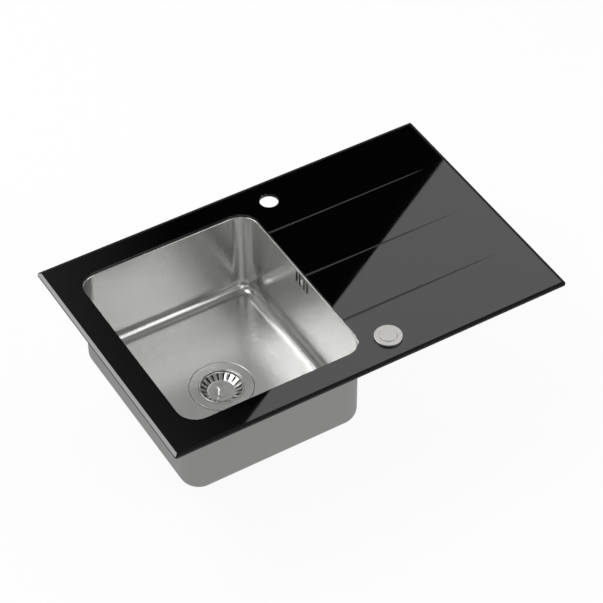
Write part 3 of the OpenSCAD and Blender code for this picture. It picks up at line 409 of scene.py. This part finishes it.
drain = Vector((drain_x, drain_y, 0.0))
flange = turned_piece([
    (0.0415, -0.1860, 0.0020), (0.0415, -0.1800, 0.0009), (0.0575, -0.1800, 0.0004),
    (0.0575, -0.1812, 0.0003), (0.0425, -0.1812, 0.0006), (0.0425, -0.1864, 0.0024),
    (0.0289, -0.2000, 0.0012), (0.0235, -0.2000, 0.0003), (0.0235, -0.2030, 0.0002),
    (0.0225, -0.2030, 0.0002), (0.0225, -0.1990, 0.0003), (0.0285, -0.1990, 0.0012),
    (0.0415, -0.1860, 0.0)], drain, 128)
for turn in (45.0, 135.0, 225.0, 315.0):
    at = Matrix.Translation(drain + Vector((0.0, 0.0, -0.202))) @ Matrix.Rotation(math.radians(turn), 4, "Z")
    bmesh.ops.create_cube(flange, size=1.0, matrix=at @ Matrix.Translation((0.0147, 0.0, 0.0))
                          @ Matrix.Diagonal((0.0166, 0.0040, 0.0020, 1.0)))
hub = turned_piece([(0.0061, -0.1991, 0.0002), (0.0090, -0.1991, 0.0004), (0.0090, -0.2030, 0.0004),
                    (0.0061, -0.2030, 0.0002), (0.0061, -0.1991, 0.0)], drain, 48)
flange = joined(flange, hub)
piece("strainer_flange_pressed", flange, flange_steel, "sink", "drain_steel", "strainer_flange")


# Basket and its knob: a thin stainless cup with twenty slots punched in its sloping wall, and a turned knob
# riveted in the middle to lift it by. A short boss below carries the rubber seal.
basket = turned_piece([
    (0.0, -0.1923, 0.0), (0.0250, -0.1923, 0.0004), (0.0256, -0.19196, 0.0), (0.0280, -0.19060, 0.0),
    (0.0313, -0.18872, 0.0), (0.0346, -0.18685, 0.0), (0.0370, -0.18548, 0.0), (0.0375, -0.1852, 0.0004),
    (0.0383, -0.1842, 0.0005), (0.0383, -0.1797, 0.0009), (0.0410, -0.1797, 0.0005), (0.0410, -0.1815, 0.0)],
    drain, 200)
slope_in, slope_wide = 0.0256, 0.0114
pitch, half_slot, half_rib = 18.0, 0.2, 0.3
slotted = []
for face in basket.faces:
    out = face.calc_center_median() - drain
    share = (math.degrees(math.atan2(out.y, out.x)) + pitch / 2) % pitch / pitch
    if 0.0257 < out.xy.length < 0.0370 and abs(share - 0.5) < half_slot:
        slotted.append(face)
for vert in basket.verts:
    out = vert.co - drain
    along = (out.xy.length - slope_in) / slope_wide
    if -0.001 < along < 1.001:
        share = (math.degrees(math.atan2(out.y, out.x)) + pitch / 2) / pitch % 1.0
        narrow = (1.0 - along) * 0.065
        across = abs(share - 0.5) - half_slot
        drawn_in = narrow * min(abs(share - 0.5), half_slot) / half_slot
        moved = share - 0.5 - math.copysign(drawn_in, share - 0.5)
        if across > 0.0001:
            moved = math.copysign(0.5 - (half_rib - across) * (half_rib + narrow) / half_rib, share - 0.5)
            rise = 0.0004 * math.sin(math.pi * across / 0.6) * math.sin(math.pi * min(max(along, 0.0), 1.0))
            vert.co += Vector((*(out.xy.normalized() * -0.494), 0.869)) * rise
        angle = math.radians((moved - share + 0.5) * pitch)
        vert.co = drain + Matrix.Rotation(angle, 3, "Z") @ (vert.co - drain)
bmesh.ops.delete(basket, geom=slotted, context="FACES")
slot_corners = [vert for vert in basket.verts if vert.is_boundary and len(vert.link_faces) == 3]
bmesh.ops.bevel(basket, geom=slot_corners, offset=0.0006, segments=3, profile=0.5, affect="VERTICES",
                material=-1)
if max(basket.faces, key=lambda face: face.calc_area()).normal.z < 0:
    bmesh.ops.reverse_faces(basket, faces=basket.faces)
bmesh.ops.solidify(basket, geom=list(basket.faces), thickness=0.0008)
boss = turned_piece([(0.0200, -0.1928, 0.0), (0.0200, -0.1960, 0.0005), (0.0125, -0.1960, 0.0005),
                     (0.0125, -0.1928, 0.0)], drain, 64)
basket = joined(basket, boss)
piece("basket_pressed", basket, polished, "strainer_basket", "drain_steel", "basket")

knob = turned_piece([
    (0.0, -0.1923, 0.0), (0.0063, -0.1923, 0.0002), (0.0063, -0.1828, 0.0012), (0.0088, -0.1796, 0.0004),
    (0.0088, -0.1776, 0.0005), (0.0, -0.1776, 0.0)], drain, 96)
piece("basket_knob_turned", knob, polished, "strainer_basket", "drain_steel", "basket_knob")


# Overflow screw: a domed stainless screw with a cross slot, turned and polished. It goes through the middle
# hole between the overflow slots and holds the housing behind the wall.
screw = turned_piece([
    (0.0, 0.0026, 0.0), (0.0016, 0.00234, 0.0004), (0.0032, 0.0015, 0.0008), (0.0045, 0.0, 0.0003),
    (0.0045, -0.0003, 0.0001), (0.0025, -0.0003, 0.0002), (0.0025, -0.0170, 0.0004), (0.0, -0.0170, 0.0)],
    Vector((0.0, 0.0, 0.0)), 64)
for size in ((0.0010, 0.0044, 0.0030), (0.0044, 0.0010, 0.0030)):
    driver = bmesh.new()
    place = Matrix.Translation((0.0, 0.0, 0.0028)) @ Matrix.Diagonal((*size, 1.0))
    bmesh.ops.create_cube(driver, size=1.0, matrix=place)
    screw = cut_away(screw, driver)
bmesh.ops.remove_doubles(screw, verts=screw.verts, dist=0.000002)
in_wall = (Matrix.Translation((wall_x, over_y, slot_z)) @ Matrix.Rotation(math.radians(-90.0), 4, "Y")
           @ Matrix.Rotation(math.radians(20.0), 4, "Z"))
bmesh.ops.transform(screw, verts=screw.verts, matrix=in_wall)
bright = Finish("screw_bright", Metallic=1.0)
rubbed = bright.noise(900.0, 2.0)
bright.feed("Base Color", rubbed.tint((0.86, 0.855, 0.84), (0.92, 0.915, 0.90)))
bright.feed("Roughness", 0.17 + 0.06 * rubbed)
piece("overflow_screw_turned", screw, bright, "sink", "drain_steel", "overflow_screw")


# Rubber seals and washers: black rubber, moulded or stamped, with a dull bloom. They lie between the
# strainer, the bowl and the waste body, behind the overflow, and above and below the control's hole.
rubber = Finish("black_rubber_moulded", Roughness=0.62)
bloom = rubber.noise(140.0, 3.0)
rubber.feed("Base Color", bloom.tint((0.014, 0.014, 0.014), (0.034, 0.034, 0.033)))
rubber.bumps(bloom, 0.0001, 0.6)
rubber.on("flange_seal", "body_gasket", "basket_seal", "overflow_gasket", "control_gasket", "control_washer")


# Waste body: body, cone, cross, outlet neck, hose inlet and cable port, injection moulded in grey
# polypropylene with a fine eroded grain. The hollow screw pulls it up against the bowl's underside.
def moulded(name, low, high, rough):
    made = Finish(name)
    grain = made.noise(1400.0, 2.0)
    flow = made.noise(22.0, 3.0, (1.0, 1.0, 0.35))
    made.feed("Base Color", (flow * 0.7 + grain * 0.3).tint(low, high))
    made.feed("Roughness", rough + 0.10 * grain + 0.06 * flow)
    made.bumps(grain, 0.00004, 0.6)
    return made


grey_moulding = moulded("grey_polypropylene", (0.085, 0.087, 0.090), (0.120, 0.123, 0.127), 0.38)
grey_moulding.on("waste_body", "waste_cone", "waste_cross", "outlet_neck", "inlet_spigot", "cable_port")


# Overflow hose: a ribbed tube of grey polypropylene that leads down from the overflow housing, round a
# quarter bend and along to the waste body. A union nut holds it at either end.
def swept(stations, sides, capped):
    """A tube along a route: each station has a place and a radius, and the rings don't twist."""
    places = [Vector(place) for place, radius in stations]
    made = bmesh.new()
    heading = (places[1] - places[0]).normalized()
    turn = heading.to_track_quat("Z", "Y")
    before = Matrix.LocRotScale(places[0], turn, Vector((stations[0][1],) * 3))
    ring = bmesh.ops.create_circle(made, cap_ends=capped, segments=sides, radius=1.0, matrix=before)["verts"]
    edges = list(made.edges)
    for i in range(1, len(places)):
        ahead = (places[min(i + 1, len(places) - 1)] - places[i - 1]).normalized()
        turn = heading.rotation_difference(ahead) @ turn
        heading = ahead
        now = Matrix.LocRotScale(places[i], turn, Vector((stations[i][1],) * 3))
        grown = bmesh.ops.extrude_edge_only(made, edges=edges)["geom"]
        edges = [part for part in grown if isinstance(part, bmesh.types.BMEdge)]
        ring = [part for part in grown if isinstance(part, bmesh.types.BMVert)]
        bmesh.ops.transform(made, verts=ring, matrix=now @ before.inverted())
        before = now
    if capped:
        bmesh.ops.contextual_create(made, geom=edges)
    return made


hose_x, hose_y = -0.027, -0.189
hose_top, hose_bend_z, hose_bend_r = -0.04545, -0.1525, 0.050
hose_across, hose_shift, shift_over = 0.07425, 0.011, 0.05025


def hose_place(run):
    """The hose's middle line, by the length run from its upper end."""
    down = hose_top - hose_bend_z
    quarter = hose_bend_r * math.pi / 2
    if run < down:
        return Vector((hose_x, hose_y, hose_top - run))
    if run < down + quarter:
        angle = (run - down) / hose_bend_r
        return Vector((hose_x - hose_bend_r + hose_bend_r * math.cos(angle), hose_y,
                       hose_bend_z - hose_bend_r * math.sin(angle)))
    along = run - down - quarter
    share = min(max(along / shift_over, 0.0), 1.0)
    return Vector((hose_x - hose_bend_r - along, hose_y - hose_shift * share * share * (3 - 2 * share),
                   hose_bend_z - hose_bend_r))


hose_run = (hose_top - hose_bend_z) + hose_bend_r * math.pi / 2 + hose_across
ribs, valley_r, rib_height, bore_r = 60, 0.0106, 0.0014, 0.0090
stations = []
for i in range(ribs * 6 + 1):
    swell = (0.0, 0.0, 0.75, 1.0, 1.0, 0.75)[i % 6]
    stations.append((hose_place(hose_run * i / (ribs * 6.0)), valley_r + rib_height * swell))
bore = [(hose_place(hose_run * i / float(ribs)), bore_r) for i in range(ribs, -1, -1)]
hose = swept(stations + bore + stations[:1], 28, False)
bmesh.ops.remove_doubles(hose, verts=hose.verts, dist=0.000005)
bmesh.ops.recalc_face_normals(hose, faces=hose.faces)
piece("overflow_hose_ribbed", hose, grey_moulding, "sink", "grey_plastic", "overflow_hose")


# Outlet thread: the outlet neck's male pipe thread, moulded with the waste body in the same grey plastic.
# The trap's union nut screws on here. It is five turns of a rounded ridge, closed at both ends.
root_r, crest_r = 0.02385, 0.02488
thread_pitch, thread_turns = 0.002309, 5.2
thread = section_line(bmesh.new(), [(root_r, -0.25255, 0.0), (crest_r, -0.2531, 0.00015),
                                    (crest_r, -0.25335, 0.00015), (root_r, -0.2539, 0.0)])
bmesh.ops.spin(thread, geom=list(thread.edges), cent=(0.0, 0.0, 0.0), axis=(0, 0, 1),
               dvec=(0.0, 0.0, -thread_pitch / 64), angle=math.radians(360.0 * thread_turns), steps=333)
bmesh.ops.translate(thread, verts=thread.verts, vec=drain)
bmesh.ops.holes_fill(thread, edges=[edge for edge in thread.edges if edge.is_boundary], sides=0)
bmesh.ops.recalc_face_normals(thread, faces=thread.faces)
piece("outlet_thread", thread, grey_moulding, "sink", "grey_plastic")


# Black mouldings: the overflow housing, the hose's two union nuts, the control's sleeve and back nut, and
# the rocker inside the waste body. They are injection moulded in black plastic with the same fine grain.
black_moulding = moulded("black_plastic_moulded", (0.014, 0.014, 0.015), (0.026, 0.026, 0.028), 0.36)
black_moulding.on("hose_nut_upper", "hose_nut_lower", "control_sleeve", "control_nut", "lift_rocker",
                  "overflow_housing")

# Pull cable: a smooth black plastic sheath round a steel wire, from the control's gland to the gland on the
# waste body. It is laid by hand in a loose bend under the bowl, and only its two ends are held.
sheath = moulded("cable_sheath_pvc", (0.014, 0.014, 0.015), (0.028, 0.028, 0.029), 0.30)
knots = [Vector(place) for place in (
    (0.0, -0.400, -0.040), (0.0, -0.400, -0.046), (0.0, -0.400, -0.051), (0.0, -0.392, -0.065),
    (0.0, -0.370, -0.078), (-0.003, -0.335, -0.108), (-0.009, -0.308, -0.148), (-0.023, -0.298, -0.192),
    (-0.055, -0.302, -0.224), (-0.1025, -0.318, -0.23769), (-0.1545, -0.332, -0.23769),
    (-0.1965, -0.322, -0.23469), (-0.2155, -0.298, -0.23169), (-0.2185, -0.274, -0.23069),
    (-0.2185, -0.268, -0.23069), (-0.2185, -0.262, -0.23069))]
cable_r, steps_between = 0.0025, 6
route = [(knots[0], cable_r)]
for i in range(len(knots) - 1):
    first, last = knots[max(i - 1, 0)], knots[min(i + 2, len(knots) - 1)]
    for step in range(1, steps_between + 1):
        t = step / float(steps_between)
        place = 0.5 * (2 * knots[i] + (knots[i + 1] - first) * t
                       + (2 * first - 5 * knots[i] + 4 * knots[i + 1] - last) * t * t
                       + (3 * knots[i] - first - 3 * knots[i + 1] + last) * t * t * t)
        route.append((place, cable_r))
cable = swept(route, 18, True)
bmesh.ops.recalc_face_normals(cable, faces=cable.faces)
piece("control_cable_sheathed", cable, sheath, "sink", "cable_sheath", "control_cable")


# Remote control: a turned ring on the glass round a push button, both of satin metal with fine turning
# rings. The sleeve and the back nut hold the ring through the control hole, and the button slides in it.
control_y = -0.400
turned_metal = Finish("control_satin", Metallic=1.0)
rings = turned_metal.turning(0.0, control_y, 3200.0, 3.0)
turned_metal.feed("Base Color", rings.tint((0.50, 0.495, 0.48), (0.58, 0.575, 0.56)))
turned_metal.feed("Roughness", 0.42 + 0.06 * rings)
turned_metal.bumps(rings, 0.00001, 0.5)
ring = turned_piece([
    (0.0250, 0.0065, 0.0), (0.0250, 0.0105, 0.0010), (0.0156, 0.0105, 0.0005), (0.0156, 0.0085, 0.0),
    (0.01735, 0.0085, 0.0), (0.01735, 0.0065, 0.0), (0.0250, 0.0065, 0.0)],
    Vector((0.0, control_y, 0.0)), 128)
piece("control_ring_turned", ring, turned_metal, "sink", "control_metal", "control_ring")
button = turned_piece([
    (0.0, 0.0117, 0.0), (0.0155, 0.0117, 0.0008), (0.0155, -0.0020, 0.0003), (0.0135, -0.0020, 0.0003),
    (0.0135, 0.0092, 0.0006), (0.0030, 0.0092, 0.0004), (0.0030, -0.0170, 0.0006), (0.0, -0.0170, 0.0)],
    Vector((0.0, control_y, 0.0)), 128)
piece("control_button_turned", button, turned_metal, "control_button", "control_metal", "control_button")


# Zinc-plated steel: the six clips' brackets, pins, arms, screws and claws, the cable's two glands, the pull
# wire and the button's return spring. The clips are stamped sheet under the plate's rim, and the spring is
# wound from thin wire round the button's stem.
zinc = Finish("zinc_plate", Metallic=1.0)
grey = zinc.noise(90.0, 3.0)
zinc.feed("Base Color", grey.tint((0.50, 0.51, 0.53), (0.66, 0.67, 0.68)))
zinc.feed("Roughness", 0.30 + 0.16 * grey)
zinc.bumps(grey, 0.00004, 0.5)
zinc.on("cable_gland_upper", "cable_gland_lower", "pull_wire", "clip_brackets", "clip_pins")
spring = bmesh.new()
coil_r, wire_r, coil_low, coil_rise, coils = 0.0090, 0.00035, -0.02365, 0.0322, 6
wire_start = Matrix.Translation((coil_r, control_y, coil_low)) @ Matrix.Rotation(math.radians(90.0), 4, "X")
bmesh.ops.create_circle(spring, cap_ends=True, segments=10, radius=wire_r, matrix=wire_start)
end_face = list(spring.faces)
bmesh.ops.spin(spring, geom=end_face, cent=(0.0, control_y, 0.0), axis=(0, 0, 1), steps=coils * 36,
               dvec=(0.0, 0.0, coil_rise / (coils * 36)), angle=math.radians(360.0 * coils))
bmesh.ops.recalc_face_normals(spring, faces=spring.faces)
coil = piece("control_spring_wound", spring, zinc, "sink", "zinc_steel", "control_spring")
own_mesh(coil)
for clip in range(1, 7):
    zinc.on("clip_arm_%d" % clip, "clip_screw_%d" % clip, "clip_claw_%d" % clip)


# Floor: a wide pale sheet just under the outlet. It looks white to the camera and keeps a faint shadow of
# the sink, and polished surfaces see it as a light grey.
ground_z, white_share, mirror_share = -0.2668, 0.93, 0.40
sheet = bmesh.new()
bmesh.ops.create_grid(sheet, x_segments=1, y_segments=1, size=12.0)
bmesh.ops.translate(sheet, verts=sheet.verts, vec=(0.0, 0.0, ground_z))
floor_mesh = bpy.data.meshes.new("floor")
sheet.to_mesh(floor_mesh)
sheet.free()
floor = bpy.data.objects.new("floor", floor_mesh)
bpy.context.scene.collection.objects.link(floor)
pale = Finish("floor_white", Roughness=1.0, Emission_Strength=1.0)
pale.shader.inputs["Specular IOR Level"].default_value = 0.0
seen = pale.place.node("LightPath", out=0)
mirrored = pale.place.node("LightPath", out=3).calc("MAXIMUM", pale.place.node("LightPath", out=6))
lit_share = 1 - white_share * seen - mirrored
pale.feed("Base Color", lit_share.tint((0.0, 0.0, 0.0), (0.86, 0.86, 0.86)))
glow = white_share * seen + mirror_share * mirrored
pale.feed("Emission Color", glow.tint((0.0, 0.0, 0.0), (1.0, 1.0, 1.0)))
floor_mesh.materials.append(pale.material)


# Camera: a long lens from the front left, looking down at 45 degrees on the middle of the sink. Its place
# and lens were worked out from the glass plate's four corners.
lens = bpy.data.cameras.new("camera")
lens.lens = 143.95
lens.sensor_width = 36.0
lens.clip_end = 100.0
camera = bpy.data.objects.new("camera", lens)
bpy.context.scene.collection.objects.link(camera)
aim = Vector((-0.08273, -0.25058, 0.006))
azimuth, elevation, distance = math.radians(-31.147), math.radians(45.147), 4.1746
back = Vector((math.sin(azimuth) * math.cos(elevation), -math.cos(azimuth) * math.cos(elevation),
               math.sin(elevation)))
facing = back.to_track_quat("Z", "Y").to_matrix().to_4x4()
camera.matrix_world = Matrix.Translation(aim + distance * back) @ facing
bpy.context.scene.camera = camera


# Studio: soft square cards stand round the sink at 2.5 m in a dim room. One hangs over the drainer and shows
# in the glass, and a narrow one lights the bevel along the left edge. The room is dark in one direction, so
# that the glass stays black there.
def lamp(name, place, target, size, radiance, turn=0.0):
    """A soft rectangular lamp that the camera doesn't see, turned about the line to its target."""
    made = bpy.data.lights.new(name, "AREA")
    made.shape = "RECTANGLE"
    made.size, made.size_y = size
    made.energy = radiance * math.pi * size[0] * size[1]
    holder = bpy.data.objects.new(name, made)
    bpy.context.scene.collection.objects.link(holder)
    facing = (Vector(target) - Vector(place)).to_track_quat("-Z", "Y").to_matrix().to_4x4()
    holder.matrix_world = Matrix.Translation(place) @ facing @ Matrix.Rotation(math.radians(turn), 4, "Z")
    holder.visible_camera = False
    return holder


card_distance, card_size = 2.5, (0.66, 0.66)


def card(name, azimuth, elevation, radiance):
    """A square card aimed at the bowl, by its bearing from the back and its height, both in degrees."""
    bearing, height = math.radians(azimuth), math.radians(elevation)
    out = Vector((math.sin(bearing) * math.cos(height), math.cos(bearing) * math.cos(height),
                  math.sin(height)))
    return lamp(name, drain + card_distance * out, drain, card_size, radiance)


hung = Vector((1.062, 0.629, 1.506))
over_drainer = lamp("card_over_drainer", hung, (hung.x, hung.y, 0.0), (1.5, 0.9), 1.74)
over_drainer.matrix_world = Matrix.Translation(hung) @ Matrix.Rotation(math.radians(30.3), 4, "Z")
lamp("strip_left_edge", (-0.843, 1.361, 1.914), (-0.44, -0.2, 0.005), (0.2, 0.8), 7.5, -18.6)
card("card_back_low", 348.75, 28.0, 9.7)
card("card_back_high", 353.0, 60.0, 4.9)
card("card_left_back", 308.6, 44.0, 5.5)
card("card_left_back_high", 306.0, 60.0, 7.9)
card("card_left_high", 270.0, 60.0, 4.4)
card("card_right_front_low", 123.75, 28.0, 8.7)
card("card_front_right_low", 146.25, 28.0, 4.4)
card("card_front_right", 154.3, 44.0, 1.85)
card("card_front_low", 213.75, 28.0, 1.3)
card("card_front", 205.7, 44.0, 0.9)

world = bpy.data.worlds.new("studio")
world.use_nodes = True
bpy.context.scene.world = world
sky = Value(world.node_tree, None)
ray = sky.node("TexCoord", out=0)
toward = sky.node("VectorMath", {"operation": "DOT_PRODUCT"}, {0: ray, 1: (0.43, 0.60, 0.675)}, 1)
open_sky = 1 - toward.above(math.cos(math.radians(9.5)), math.cos(math.radians(6.3)))
room_tone = 0.24
level = (room_tone * open_sky).calc("MAXIMUM", sky.node("LightPath", out=0))
dark = sky.node("Background", sockets={1: 0.0})
white = sky.node("Background", sockets={0: (1.0, 1.0, 1.0, 1.0), 1: 1.0})
room = sky.node("MixShader", sockets={0: level, 1: dark, 2: white})
world.node_tree.links.new(room.socket, world.node_tree.nodes["World Output"].inputs["Surface"])

bpy.context.scene.view_settings.view_transform = "Standard"
